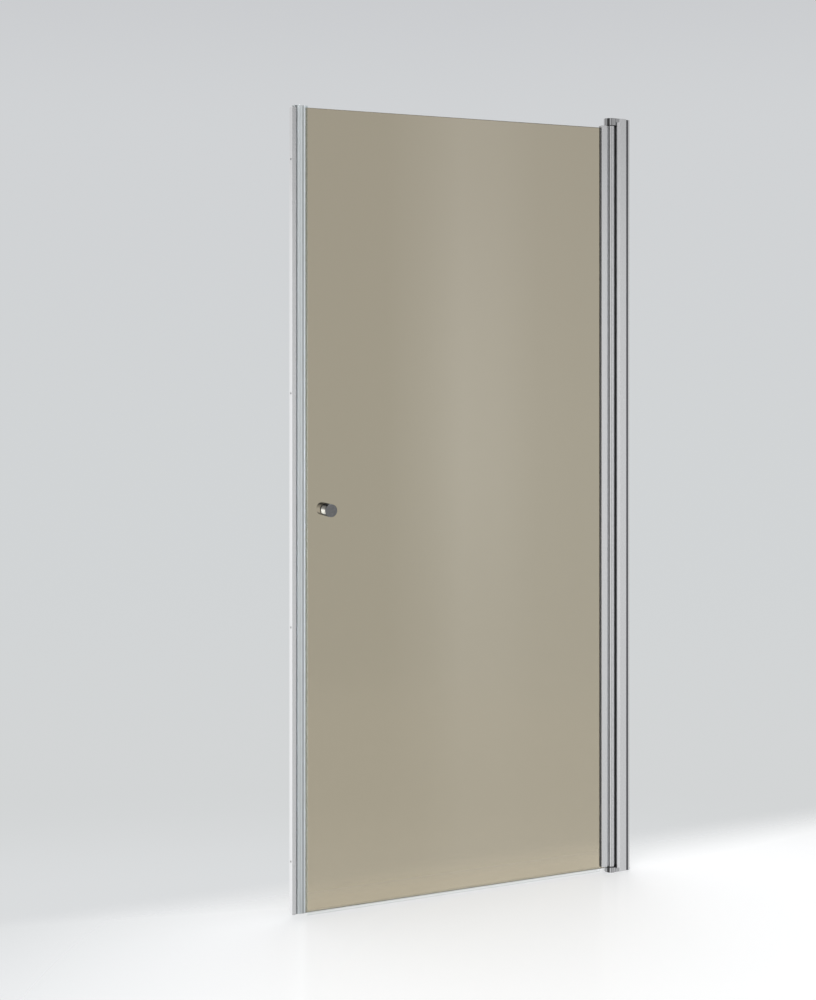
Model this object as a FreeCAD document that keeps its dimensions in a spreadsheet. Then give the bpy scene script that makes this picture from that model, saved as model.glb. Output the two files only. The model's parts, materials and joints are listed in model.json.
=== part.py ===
import FreeCAD, Part
import os
import types

import Sketcher

# A pivot door for a shower niche: one tinted glass pane clamped along one upright edge in a
# hinge profile with a round barrel, which turns on a pin at its top and one at its bottom.
# Millimetres. X runs along the width, from the strike side to the hinge side, and is 0 midway
# between the walls. Y is 0 in the middle of the glass, and -Y is the room side. Z is up from
# the floor line, where the fixed hinge profiles end.

Vector = FreeCAD.Vector
document = FreeCAD.newDocument("PivotShowerDoor")
sheet = document.addObject("Spreadsheet::Sheet", "Sizes")

DRIVING_SIZES = (
    ("niche_width", 900.0, "clear width between the two walls"),
    ("overall_height", 1900.0, "height of the fixed hinge profile"),
    ("door_bottom", 14.0, "floor line to the lower end of the door's hinge profile"),
    ("door_top_gap", 19.0, "top of the fixed hinge profile down to the door's hinge profile"),
    ("fit_gap", 0.05, "play of a piece seated in its hole or groove, all round"),
    ("screw_gap", 0.2, "play of a screw in its clearance hole, all round"),
    ("slide_gap", 0.3, "play between profiles that slide into each other"),
    ("running_gap", 0.3, "gap between pieces that pass each other when the door turns"),
    # Fixed hinge profiles
    ("wall_channel_depth", 21.0, "depth of the channel on the hinge wall"),
    ("wall_channel_wall", 1.6, "wall of that channel's sides"),
    ("wall_channel_base", 2.0, "thickness of that channel's base"),
    ("wall_channel_drop", 2.0, "top of the fixed hinge profile down to the wall channel's top"),
    ("post_thickness", 28.0, "thickness of the fixed hinge profile"),
    ("post_wall", 1.5, "wall of the fixed hinge profile"),
    ("post_nose_wall", 4.4, "thickness of its nose, which faces the barrel"),
    ("post_bevel", 1.2, "how much narrower its nose is on each side"),
    ("post_bevel_length", 8.0, "length along X over which it narrows"),
    ("post_corner", 1.2, "radius of its nose corners"),
    ("post_wall_gap", 10.6, "hinge wall to the ends of its sides"),
    ("post_web_from_wall", 22.0, "hinge wall to the web that closes its chamber"),
    ("nose_gap", 1.2, "barrel to the nose"),
    ("gasket_slot_mouth", 3.2, "width of the mouth of the groove for the post gasket"),
    ("gasket_slot_width", 6.0, "width of that groove inside"),
    ("gasket_slot_lip", 1.2, "thickness of the lips at its mouth"),
    ("gasket_slot_depth", 2.8, "whole depth of that groove"),
    ("gasket_width", 11.6, "width of the post gasket over its two lips"),
    ("gasket_lip", 1.6, "thickness of one of its lips"),
    ("gasket_base", 0.6, "thickness of its base on the nose"),
    ("gasket_lip_reach", 1.1, "height of its lips above that base"),
    ("lock_screw_from_wall", 17.0, "hinge wall to the locking screws"),
    ("lock_screw_inset", 250.0, "ends of the fixed hinge profile to the outer locking screws"),
    ("wall_plug_height", 12.0, "height of the plugs at the ends of the wall channel"),
    # Pivots
    ("pivot_from_wall", 49.0, "hinge wall to the pivot axis"),
    ("barrel_radius", 11.0, "radius of the door profile's barrel"),
    ("barrel_bore", 6.5, "radius of its bore"),
    ("pin_radius", 4.0, "radius of the pivot pins"),
    ("pin_engagement", 22.0, "length of a pin inside the barrel"),
    ("pin_end_wall", 3.0, "metal left over a pin in its block"),
    ("pin_chamfer", 0.6, "chamfer at the ends of a pin"),
    ("bush_length", 25.0, "length of a bush inside the barrel"),
    ("bush_flange", 1.0, "thickness of its flange"),
    ("washer_thickness", 1.0, "thickness of the thrust washer"),
    ("flange_inset", 0.4, "step from the barrel's face in to the flanges and the washer"),
    ("block_overhang", 4.7, "how far a pivot block's round end stands out round the barrel"),
    ("block_arm_height", 9.5, "height of a block's arm, from its outer face"),
    ("block_arm_inset", 0.4, "side of the fixed hinge profile in to the side of that arm"),
    ("block_arm_overlap", 1.9, "how far that arm runs past the post's nose, on to the tenon"),
    ("block_arm_corner", 1.8, "radius of the arm's inner corner"),
    ("block_edge", 0.6, "rounding of a block's outer edge"),
    ("tenon_length", 38.0, "depth of a block's tenon inside the post, from the post's end"),
    ("tenon_drop", 1.0, "post's end to the tenon's own end face"),
    ("block_screw_inset", 24.0, "post's end to the screw that holds a block"),
    ("pin_lock_inset", 6.5, "post's end to the screw that locks a pin"),
    # Door profile
    ("channel_reach", 18.4, "barrel's face to the open edge of the glass channel"),
    ("channel_back", 1.0, "barrel's face to the back of the glass channel"),
    ("channel_floor", 4.5, "barrel's face to the floor of its slot"),
    ("channel_thickness", 15.0, "thickness of the channel over both legs"),
    ("channel_leg", 2.4, "thickness of one leg"),
    ("channel_corner", 1.4, "radius of its back corners"),
    ("channel_lip", 0.7, "radius of its open edges"),
    ("neck_thickness", 7.0, "thickness of the neck between channel and barrel"),
    ("neck_end", 8.6, "pivot axis to where the neck ends in the barrel's wall"),
    # Glass
    ("glass_thickness", 6.0, "thickness of the pane"),
    ("glass_bottom", 10.0, "floor line to the pane"),
    ("glass_top_drop", 5.0, "top of the door's hinge profile down to the pane"),
    ("glass_edge_gap", 1.5, "pane to the floor of its slot"),
    ("glass_edge", 0.5, "chamfer of the pane's edges"),
    ("glazing_gasket_depth", 10.8, "length of a glazing gasket across the slot"),
    ("glazing_gasket_bead", 0.9, "how far its bead stands out of the slot"),
    ("setting_block_length", 60.0, "length of a setting block"),
    ("setting_block_inset", 100.0, "ends of the pane to the outer setting blocks"),
    # Strike side
    ("strike_depth", 9.5, "depth of the strike profile from its wall"),
    ("strike_thickness", 20.0, "thickness of the strike profile"),
    ("strike_wall", 1.5, "wall of the strike profile"),
    ("strike_mouth", 10.0, "width of its mouth between the two lips"),
    ("strike_bottom", 12.0, "floor line to the strike profile"),
    ("strike_top_drop", 6.0, "top of the door's hinge profile down to the strike profile"),
    ("seal_bottom", 10.4, "floor line to the magnet seals"),
    ("seal_top_drop", 1.0, "top of the door's hinge profile down to the magnet seals"),
    ("seal_thickness", 12.0, "thickness of the magnet seals"),
    ("seal_wall", 0.8, "wall of the magnet seals"),
    ("seam_from_wall", 26.7, "strike wall to the seam between the two magnet seals"),
    ("seal_head", 12.2, "seam to the back of the fixed seal's head"),
    ("seal_neck", 6.0, "thickness of the fixed seal's neck"),
    ("seal_root_depth", 2.6, "thickness of its root behind the lips"),
    ("seal_root_width", 16.4, "width of its root"),
    ("seal_notch", 1.0, "depth and half width of the notches along its head"),
    ("seal_notch_from_seam", 6.6, "seam to those notches"),
    ("glass_edge_from_seam", 6.8, "seam to the pane's free edge"),
    ("seal_leg", 1.2, "thickness of the door seal's legs"),
    ("seal_leg_reach", 6.0, "length of those legs over the pane"),
    ("seal_shoulder", 2.0, "pane's free edge to where the door seal narrows to its legs"),
    ("seal_leg_gap", 0.1, "play between the pane and the legs of its seals"),
    ("magnet_depth", 4.0, "thickness of a magnet strip along X"),
    ("magnet_width", 6.8, "width of a magnet strip"),
    ("drip_leg", 1.0, "thickness of the drip seal's legs"),
    ("drip_leg_height", 4.5, "height of those legs over the pane"),
    ("drip_base", 1.2, "thickness of the drip seal under the pane"),
    ("drip_fin_height", 6.0, "height of its fin"),
    ("drip_fin_root", 3.2, "thickness of that fin at its root"),
    ("drip_fin_tip", 1.2, "thickness of that fin at its tip"),
    # Knob
    ("knob_from_edge", 53.8, "pane's free edge to the knob's axis"),
    ("knob_height", 942.0, "floor line to the knob's axis"),
    ("knob_radius", 15.0, "radius of a knob"),
    ("knob_length", 28.5, "length of a knob"),
    ("knob_chamfer", 0.8, "chamfer round its face"),
    ("knob_round", 0.6, "rounding of the edge at its foot"),
    ("knob_bore_depth", 17.0, "depth of the bore in a knob"),
    ("grub_screw_inset", 7.2, "foot of the inner knob to its grub screw"),
    ("grub_screw_drop", 1.0, "side of the inner knob in to the end of that screw"),
    ("knob_washer", 1.0, "thickness of the washer under a knob"),
    ("knob_washer_radius", 13.0, "radius of that washer"),
    ("stud_radius", 3.0, "radius of the stud through the pane"),
    ("stud_end_gap", 2.0, "end of the stud to the floor of its bore"),
    ("glass_hole", 6.0, "radius of the hole in the pane"),
    # Screws
    ("screw_radius", 1.95, "radius of the shanks"),
    ("screw_head_radius", 3.5, "radius of the heads"),
    ("screw_head", 2.0, "height of the heads"),
    ("screw_length", 8.0, "length of the locking screws under the head"),
    ("block_screw_length", 10.0, "length of the block screws under the head"),
    ("drive_radius", 1.5, "radius across the corners of the hexagon sockets"),
    ("drive_depth", 1.2, "depth of those sockets"),
    ("cap_radius", 4.3, "radius of the caps over the locking screws"),
    ("cap_wall", 1.2, "thickness of those caps over the heads"),
    ("cap_chamfer", 0.5, "chamfer of those caps"),
    ("fixing_hole", 2.75, "radius of the holes for the wall screws"),
    ("hinge_fixing_inset", 100.0, "ends of the hinge wall channel to its outer fixing holes"),
    ("strike_fixing_inset", 120.0, "ends of the strike profile to its outer fixing holes"),
)
LOCKING_SCREWS = 3
SETTING_BLOCKS = 3
FIXING_HOLES = 4
BLOCK_ENDS = (False, True)  # whether a pivot block is the top one


class Size:
    """A length: its present value, and the formula that ties it to the sheet."""

    def __init__(self, value, formula):
        self.value = float(value)
        self.formula = formula

    def __add__(self, other):
        other = as_size(other)
        return Size(self.value + other.value, f"({self.formula} + {other.formula})")

    def __sub__(self, other):
        other = as_size(other)
        return Size(self.value - other.value, f"({self.formula} - {other.formula})")

    def __mul__(self, number):
        return Size(self.value * number, f"({self.formula} * {number})")

    def __truediv__(self, number):
        return Size(self.value / number, f"({self.formula} / {number})")

    def __neg__(self):
        return self * -1


def as_size(length):
    return length if isinstance(length, Size) else Size(length, str(length))


def filled_sheet():
    """Writes one row for each driving size, and returns them all by name."""
    lengths = {}
    for row, (alias, value, meaning) in enumerate(DRIVING_SIZES, start=1):
        sheet.set(f"A{row}", meaning)
        sheet.set(f"B{row}", str(value))
        sheet.setAlias(f"B{row}", alias)
        lengths[alias] = Size(value, f"Sizes.{alias}")
    document.recompute()
    return types.SimpleNamespace(**lengths)


S = filled_sheet()
ZERO = Size(0, "0")

# Places along X
hinge_wall = S.niche_width / 2
strike_wall = -hinge_wall
pivot_x = hinge_wall - S.pivot_from_wall
nose_x = pivot_x + S.barrel_radius + S.nose_gap
post_end_x = hinge_wall - S.post_wall_gap
web_x = hinge_wall - S.post_web_from_wall
chamber_start_x = nose_x + S.post_nose_wall
chamber_end_x = web_x - S.post_wall
arm_end_x = chamber_start_x + S.block_arm_overlap
tenon_start_x = chamber_start_x + S.slide_gap
tenon_end_x = chamber_end_x - S.slide_gap
tenon_middle_x = (tenon_start_x + tenon_end_x) / 2
barrel_face_x = pivot_x - S.barrel_radius
slot_floor_x = barrel_face_x - S.channel_floor
channel_edge_x = barrel_face_x - S.channel_reach
glass_hinge_x = slot_floor_x - S.glass_edge_gap
seam_x = strike_wall + S.seam_from_wall
glass_free_x = seam_x + S.glass_edge_from_seam
knob_x = glass_free_x + S.knob_from_edge
lock_screw_x = hinge_wall - S.lock_screw_from_wall

# Places along Y, from the middle of the glass
block_radius = S.barrel_radius + S.block_overhang
post_side = S.post_thickness / 2
arm_side = post_side - S.block_arm_inset
post_inside = post_side - S.post_wall
wall_channel_side = post_inside - S.slide_gap
channel_side = S.channel_thickness / 2
slot_side = channel_side - S.channel_leg
glass_side = S.glass_thickness / 2
knob_foot_y = glass_side + S.knob_washer
grub_screw_y = knob_foot_y + S.grub_screw_inset

# Places along Z
door_top = S.overall_height - S.door_top_gap
door_height = door_top - S.door_bottom
glass_top = door_top - S.glass_top_drop
glass_height = glass_top - S.glass_bottom
seal_top = door_top - S.seal_top_drop
seal_height = seal_top - S.seal_bottom
strike_top = door_top - S.strike_top_drop
strike_height = strike_top - S.strike_bottom
wall_channel_height = S.overall_height - S.wall_channel_drop
bottom_collar = S.door_bottom - S.bush_flange - S.washer_thickness
top_collar = S.door_top_gap - S.bush_flange - S.running_gap
lock_screw_span = S.overall_height - S.lock_screw_inset * 2

# Radii of holes, each from what goes into it
tapped_radius = S.screw_radius + S.fit_gap
clearance_radius = S.screw_radius + S.screw_gap
pin_bore = S.pin_radius + S.fit_gap
stud_bore = S.stud_radius + S.fit_gap


# ---- Making bodies, sketches and features ----


def new_body(label, x=ZERO, z=ZERO):
    """An empty body, whose origin lies at x and z."""
    body = document.addObject("PartDesign::Body", label)
    body.Label = label
    body.setExpression("Placement.Base.x", x.formula)
    body.setExpression("Placement.Base.z", z.formula)
    return body


def origin_feature(body, role):
    return next(item for item in body.Origin.OriginFeatures if item.Role == role)


def new_sketch(body, plane, offset=ZERO):
    """A sketch on one of the body's own planes, moved along that plane's normal."""
    sketch = body.newObject("Sketcher::SketchObject", body.Label + "_sketch")
    sketch.AttachmentSupport = [(origin_feature(body, plane), "")]
    sketch.MapMode = "FlatFace"
    sketch.setExpression("AttachmentOffset.Base.z", offset.formula)
    return sketch


def tie(sketch, kind, curve, point, length):
    """Ties a point's place along one axis to a length."""
    number = sketch.addConstraint(Sketcher.Constraint(kind, -1, 1, curve, point, length.value))
    sketch.setExpression(f"Constraints[{number}]", length.formula)


def draw_outline(sketch, corners):
    """A closed outline of straight sides through the corners, each tied to its place."""
    first = sketch.GeometryCount
    count = len(corners)
    for index, (x, y) in enumerate(corners):
        next_x, next_y = corners[(index + 1) % count]
        start = Vector(x.value, y.value, 0)
        end = Vector(next_x.value, next_y.value, 0)
        sketch.addGeometry(Part.LineSegment(start, end), False)
    for index in range(count):
        following = first + (index + 1) % count
        sketch.addConstraint(Sketcher.Constraint("Coincident", first + index, 2, following, 1))
    for index, (x, y) in enumerate(corners):
        tie(sketch, "DistanceX", first + index, 1, x)
        tie(sketch, "DistanceY", first + index, 1, y)


def draw_circle(sketch, x, y, radius):
    centre = Vector(x.value, y.value, 0)
    curve = sketch.addGeometry(Part.Circle(centre, Vector(0, 0, 1), radius.value), False)
    number = sketch.addConstraint(Sketcher.Constraint("Radius", curve, radius.value))
    sketch.setExpression(f"Constraints[{number}]", radius.formula)
    tie(sketch, "DistanceX", curve, 3, x)
    tie(sketch, "DistanceY", curve, 3, y)


def rectangle(x_low, x_high, y_low, y_high):
    return [(x_low, y_low), (x_high, y_low), (x_high, y_high), (x_low, y_high)]


def mirrored(corners):
    """The corners, and then their mirror images across y = 0 in reverse order."""
    return corners + [(x, -y) for x, y in reversed(corners)]


def pad(body, sketch, height):
    feature = body.newObject("PartDesign::Pad", body.Label + "_pad")
    feature.Profile = sketch
    feature.setExpression("Length", height.formula)
    document.recompute()
    return feature


def pocket(body, sketch, depth, forwards=False, both_ways=False):
    """Cuts against the sketch's normal, along it, or evenly both ways."""
    before = body.Shape.Volume
    feature = body.newObject("PartDesign::Pocket", body.Label + "_pocket")
    feature.Profile = sketch
    feature.setExpression("Length", depth.formula)
    feature.Reversed = forwards
    feature.Midplane = both_ways
    document.recompute()
    if not body.Shape.Volume < before:
        raise RuntimeError(f"a pocket in {body.Label} cuts nothing")
    return feature


def revolve(body, sketch, axis):
    feature = body.newObject("PartDesign::Revolution", body.Label + "_revolution")
    feature.Profile = sketch
    feature.ReferenceAxis = (sketch, [axis])
    feature.Angle = 360.0
    document.recompute()
    return feature


def row_upwards(body, originals, length, count):
    """Repeats features up the body's Z axis, evenly over the length."""
    body.AllowCompound = True
    feature = body.newObject("PartDesign::LinearPattern", body.Label + "_row")
    feature.Originals = originals
    feature.Direction = (origin_feature(body, "Z_Axis"), [""])
    feature.setExpression("Length", length.formula)
    feature.Occurrences = count
    body.Tip = feature
    document.recompute()
    return feature


def edges_at(body, wanted):
    """Names of the body's edges whose two ends pass the test wanted(point)."""
    names = []
    for number, edge in enumerate(body.Shape.Edges, start=1):
        ends = [vertex.Point - body.Placement.Base for vertex in edge.Vertexes]
        if ends and all(wanted(point) for point in ends):
            names.append(f"Edge{number}")
    if not names:
        raise RuntimeError(f"no edge found on {body.Label}")
    return names


def close_to(value, length):
    return abs(value - length.value) < 0.01


def fillet(body, names, radius):
    base = body.Tip
    feature = body.newObject("PartDesign::Fillet", body.Label + "_fillet")
    feature.Base = (base, names)
    feature.setExpression("Radius", radius.formula)
    body.Tip = feature
    document.recompute()
    return feature


def chamfer(body, names, size):
    base = body.Tip
    feature = body.newObject("PartDesign::Chamfer", body.Label + "_chamfer")
    feature.Base = (base, names)
    feature.setExpression("Size", size.formula)
    body.Tip = feature
    document.recompute()
    return feature


def upright_edges(body, places):
    """The edges along Z that stand at these places in plan."""

    def wanted(point):
        return any(close_to(point.x, x) and close_to(point.y, y) for x, y in places)

    return edges_at(body, wanted)


def ring_edges(body, y, radius):
    """The round edge about the body's own Y axis at this y and radius."""

    def wanted(point):
        return close_to(point.y, y) and close_to((point.x**2 + point.z**2) ** 0.5, radius)

    return edges_at(body, wanted)


def extrusion(label, outline, bottom, height, cavities=()):
    """A straight profile along Z: a closed outline, less its cavities."""
    body = new_body(label)
    sketch = new_sketch(body, "XY_Plane", bottom)
    draw_outline(sketch, outline)
    for cavity in cavities:
        draw_outline(sketch, cavity)
    pad(body, sketch, height)
    return body


def turned_about_y(label, x, z, half_section):
    """A turned piece about a level axis; the half section is in (y, radius)."""
    body = new_body(label, x, z)
    sketch = new_sketch(body, "YZ_Plane")
    draw_outline(sketch, half_section)
    body.Tip = revolve(body, sketch, "H_Axis")
    return body


def turned_about_pivot(label, half_section):
    """A turned piece about the pivot axis; the half section is in (radius, z)."""
    body = new_body(label, pivot_x)
    sketch = new_sketch(body, "XZ_Plane")
    draw_outline(sketch, half_section)
    revolve(body, sketch, "V_Axis")
    return body


def hole_along_y(body, x, z, radius, y_outer, depth):
    """A round hole that starts at y_outer and runs towards -Y."""
    sketch = new_sketch(body, "XZ_Plane", -y_outer)
    draw_circle(sketch, x, z, radius)
    return pocket(body, sketch, depth, forwards=True)


def hexagon(middle_y):
    """The outline of a hexagon socket, at this place along a sketch's second axis."""
    half = S.drive_radius / 2
    flat = S.drive_radius * (3**0.5 / 2)
    corners = [(S.drive_radius, ZERO), (half, flat), (-half, flat)]
    corners += [(-x, -y) for x, y in corners]
    return [(x, y + middle_y) for x, y in corners]


def hexagon_socket(body, y_face):
    """A hexagon socket in the face of a turned screw that looks towards +Y."""
    sketch = new_sketch(body, "XZ_Plane", -y_face)
    draw_outline(sketch, hexagon(ZERO))
    return pocket(body, sketch, S.drive_depth, forwards=True)


# ---- Fixed hinge side ----


def hinge_wall_profile():
    """The channel screwed to the hinge wall, open towards the pivot."""
    inside = wall_channel_side - S.wall_channel_wall
    open_x = hinge_wall - S.wall_channel_depth
    base_x = hinge_wall - S.wall_channel_base
    outline = mirrored(
        [
            (hinge_wall, -wall_channel_side),
            (open_x, -wall_channel_side),
            (open_x, -inside),
            (base_x, -inside),
        ]
    )
    body = extrusion("hinge_wall_profile", outline, ZERO, wall_channel_height)
    fixing_holes(
        body, base_x, S.wall_channel_base, ZERO, wall_channel_height, S.hinge_fixing_inset
    )
    sketch = new_sketch(body, "XZ_Plane", -wall_channel_side)
    draw_circle(sketch, lock_screw_x, S.lock_screw_inset, tapped_radius)
    hole = pocket(body, sketch, S.wall_channel_wall, forwards=True)
    row_upwards(body, [hole], lock_screw_span, LOCKING_SCREWS)
    return body


def fixing_holes(body, base_x, thickness, bottom, height, inset):
    """A row of screw holes through a wall profile's base, from base_x towards +X."""
    sketch = new_sketch(body, "YZ_Plane", base_x)
    draw_circle(sketch, ZERO, bottom + inset, S.fixing_hole)
    hole = pocket(body, sketch, thickness, forwards=True)
    row_upwards(body, [hole], height - inset * 2, FIXING_HOLES)


def hinge_post_profile():
    """The profile that slides over the wall channel and carries both pivot blocks."""
    mouth = S.gasket_slot_mouth / 2
    slot = S.gasket_slot_width / 2
    lip_x = nose_x + S.gasket_slot_lip
    slot_x = nose_x + S.gasket_slot_depth
    nose_side = post_side - S.post_bevel
    bevel_end_x = nose_x + S.post_bevel_length
    outline = mirrored(
        [
            (slot_x, -slot),
            (lip_x, -slot),
            (lip_x, -mouth),
            (nose_x, -mouth),
            (nose_x, -nose_side),
            (bevel_end_x, -post_side),
            (post_end_x, -post_side),
            (post_end_x, -post_inside),
            (web_x, -post_inside),
        ]
    )
    chamber = rectangle(chamber_start_x, chamber_end_x, -post_inside, post_inside)
    body = extrusion("hinge_post_profile", outline, ZERO, S.overall_height, [chamber])
    corners = [(nose_x, -nose_side), (nose_x, nose_side)]
    fillet(body, upright_edges(body, corners), S.post_corner)
    for top in BLOCK_ENDS:
        arm_notch(body, top)
    sketch = new_sketch(body, "XZ_Plane", -post_side)
    draw_circle(sketch, lock_screw_x, S.lock_screw_inset, clearance_radius)
    hole = pocket(body, sketch, S.post_wall, forwards=True)
    row_upwards(body, [hole], lock_screw_span, LOCKING_SCREWS)
    for top in BLOCK_ENDS:
        z = from_end(top, S.block_screw_inset)
        hole_along_y(body, tenon_middle_x, z, clearance_radius, post_side, S.post_wall)
    return body


def from_end(top, distance):
    """The height at this distance from the post's lower or upper end."""
    return S.overall_height - distance if top else distance


def arm_notch(body, top):
    """The cut in the post's nose that a block's arm passes through."""
    edge_x = arm_end_x + S.fit_gap
    shoulder = from_end(top, S.block_arm_height + S.fit_gap)
    end = from_end(top, ZERO)
    sketch = new_sketch(body, "XZ_Plane")
    low, high = (shoulder, end) if top else (end, shoulder)
    draw_outline(sketch, rectangle(nose_x, edge_x, low, high))
    pocket(body, sketch, S.post_thickness, both_ways=True)

    def inner_corner(point):
        return close_to(point.x, edge_x) and close_to(point.z, shoulder)

    fillet(body, edges_at(body, inner_corner), S.block_arm_corner)


def hinge_post_gasket():
    """The soft strip in the nose, with two lips that stop just short of the barrel."""
    side = S.gasket_width / 2
    lip_inside = side - S.gasket_lip
    mouth = S.gasket_slot_mouth / 2 - S.fit_gap
    slot = S.gasket_slot_width / 2 - S.fit_gap
    base_x = nose_x - S.gasket_base
    tip_x = base_x - S.gasket_lip_reach
    neck_x = nose_x + S.gasket_slot_lip + S.fit_gap
    root_x = nose_x + S.gasket_slot_depth - S.fit_gap
    outline = mirrored(
        [
            (root_x, -slot),
            (neck_x, -slot),
            (neck_x, -mouth),
            (nose_x, -mouth),
            (nose_x, -side),
            (tip_x, -side),
            (tip_x, -lip_inside),
            (base_x, -lip_inside),
        ]
    )
    low = bottom_collar + S.running_gap
    high = S.overall_height - top_collar - S.running_gap
    return extrusion("hinge_post_gasket", outline, low, high - low)


def wall_channel_plug(label, bottom):
    """A plug that closes one end of the wall channel."""
    side = wall_channel_side - S.wall_channel_wall - S.slide_gap
    start = hinge_wall - S.wall_channel_depth + S.slide_gap
    end = hinge_wall - S.wall_channel_base - S.slide_gap
    outline = rectangle(start, end, -side, side)
    return extrusion(label, outline, bottom, S.wall_plug_height)


def headed_screws(label, x, inset, length, count):
    """A row of screws whose heads lie on the post's shower side."""
    tip = post_side - length
    face = post_side + S.screw_head
    section = [
        (tip, ZERO),
        (tip, S.screw_radius),
        (post_side, S.screw_radius),
        (post_side, S.screw_head_radius),
        (face, S.screw_head_radius),
        (face, ZERO),
    ]
    body = turned_about_y(label, x, inset, section)
    turned = body.Tip
    socket = hexagon_socket(body, face)
    row_upwards(body, [turned, socket], S.overall_height - inset * 2, count)
    return body


def locking_screw_caps():
    """Round caps that snap over the heads of the locking screws."""
    cavity = S.screw_head_radius + S.fit_gap
    floor = post_side + S.screw_head + S.fit_gap
    face = floor + S.cap_wall
    section = [
        (post_side, cavity),
        (post_side, S.cap_radius),
        (face - S.cap_chamfer, S.cap_radius),
        (face, S.cap_radius - S.cap_chamfer),
        (face, ZERO),
        (floor, ZERO),
        (floor, cavity),
    ]
    body = turned_about_y("locking_screw_caps", lock_screw_x, S.lock_screw_inset, section)
    row_upwards(body, [body.Tip], lock_screw_span, LOCKING_SCREWS)
    return body


# ---- Pivots ----


def pivot_block(label, top, collar):
    """The block at one end of the post: a round end over the barrel, an arm and a tenon."""
    body = new_body(label)
    tenon_side = post_inside - S.slide_gap

    def slab(draw, near, far):
        """Adds what draw makes, between two distances from the post's end."""
        sketch = new_sketch(body, "XY_Plane", from_end(top, far if top else near))
        draw(sketch)
        return pad(body, sketch, far - near)

    slab(lambda sketch: draw_circle(sketch, pivot_x, ZERO, block_radius), ZERO, collar)
    relief = new_sketch(body, "XY_Plane", from_end(top, collar if top else S.block_arm_height))
    relief_x = nose_x - S.running_gap
    relief_end_x = pivot_x + block_radius + S.running_gap
    draw_outline(relief, rectangle(relief_x, relief_end_x, -block_radius, block_radius))
    pocket(body, relief, collar - S.block_arm_height, forwards=True)
    arm = rectangle(pivot_x, arm_end_x, -arm_side, arm_side)
    slab(lambda sketch: draw_outline(sketch, arm), ZERO, S.block_arm_height)
    shoulder = from_end(top, S.block_arm_height)

    def inner_corner(point):
        return close_to(point.x, arm_end_x) and close_to(point.z, shoulder)

    fillet(body, edges_at(body, inner_corner), S.block_arm_corner)
    tenon = rectangle(tenon_start_x, tenon_end_x, -tenon_side, tenon_side)
    slab(lambda sketch: draw_outline(sketch, tenon), S.tenon_drop, S.tenon_length)
    bore = new_sketch(body, "XY_Plane", from_end(top, collar))
    draw_circle(bore, pivot_x, ZERO, pin_bore)
    pocket(body, bore, collar - S.pin_end_wall, forwards=top)
    lock_z = from_end(top, S.pin_lock_inset)
    hole_along_y(body, pivot_x, lock_z, tapped_radius, block_radius, block_radius)
    screw_z = from_end(top, S.block_screw_inset)
    screw_depth = S.block_screw_length - S.post_wall
    hole_along_y(body, tenon_middle_x, screw_z, tapped_radius, tenon_side, screw_depth)
    end = from_end(top, ZERO)
    fillet(body, edges_at(body, lambda point: close_to(point.z, end)), S.block_edge)
    return body


def pin_lock_screws():
    """The two headless screws that press on the pins from the shower side."""
    tip = S.pin_radius + S.fit_gap
    face = block_radius - S.drive_depth
    section = [
        (tip, ZERO),
        (tip, S.screw_radius),
        (face, S.screw_radius),
        (face, ZERO),
    ]
    body = turned_about_y("pin_lock_screws", pivot_x, S.pin_lock_inset, section)
    turned = body.Tip
    socket = hexagon_socket(body, face)
    span = S.overall_height - S.pin_lock_inset * 2
    row_upwards(body, [turned, socket], span, len(BLOCK_ENDS))
    return body


def pivot_pin(label, low, high):
    """A plain pin about the pivot axis, chamfered at both ends."""
    inner = S.pin_radius - S.pin_chamfer
    section = [
        (ZERO, low),
        (inner, low),
        (S.pin_radius, low + S.pin_chamfer),
        (S.pin_radius, high - S.pin_chamfer),
        (inner, high),
        (ZERO, high),
    ]
    return turned_about_pivot(label, section)


def thrust_washer():
    """The washer on the bottom block that carries the door's weight."""
    outer = S.barrel_radius - S.flange_inset
    top = bottom_collar + S.washer_thickness
    section = rectangle(pin_bore, outer, bottom_collar, top)
    return turned_about_pivot("thrust_washer", section)


def pivot_bush(label, barrel_end, outwards):
    """A flanged bush in one end of the barrel; outwards is 1 at the top, -1 at the bottom."""
    flange = S.barrel_radius - S.flange_inset
    sleeve = S.barrel_bore - S.fit_gap
    inner_end = barrel_end - S.bush_length * outwards
    flange_end = barrel_end + S.bush_flange * outwards
    section = [
        (pin_bore, inner_end),
        (sleeve, inner_end),
        (sleeve, barrel_end),
        (flange, barrel_end),
        (flange, flange_end),
        (pin_bore, flange_end),
    ]
    return turned_about_pivot(label, section)


# ---- Door leaf ----


def door_hinge_profile():
    """The door's upright profile: a round barrel, a neck and a channel that holds the pane."""
    back_x = barrel_face_x - S.channel_back
    neck = S.neck_thickness / 2
    neck_x = pivot_x - S.neck_end
    body = new_body("door_hinge_profile")
    barrel = new_sketch(body, "XY_Plane", S.door_bottom)
    draw_circle(barrel, pivot_x, ZERO, S.barrel_radius)
    draw_circle(barrel, pivot_x, ZERO, S.barrel_bore)
    pad(body, barrel, door_height)
    channel = new_sketch(body, "XY_Plane", S.door_bottom)
    outline = mirrored(
        [
            (slot_floor_x, -slot_side),
            (channel_edge_x, -slot_side),
            (channel_edge_x, -channel_side),
            (back_x, -channel_side),
            (back_x, -neck),
            (neck_x, -neck),
        ]
    )
    draw_outline(channel, outline)
    pad(body, channel, door_height)
    back = [(back_x, -channel_side), (back_x, channel_side)]
    fillet(body, upright_edges(body, back), S.channel_corner)
    lips = [(channel_edge_x, -channel_side), (channel_edge_x, channel_side)]
    fillet(body, upright_edges(body, lips), S.channel_lip)
    return body


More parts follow.
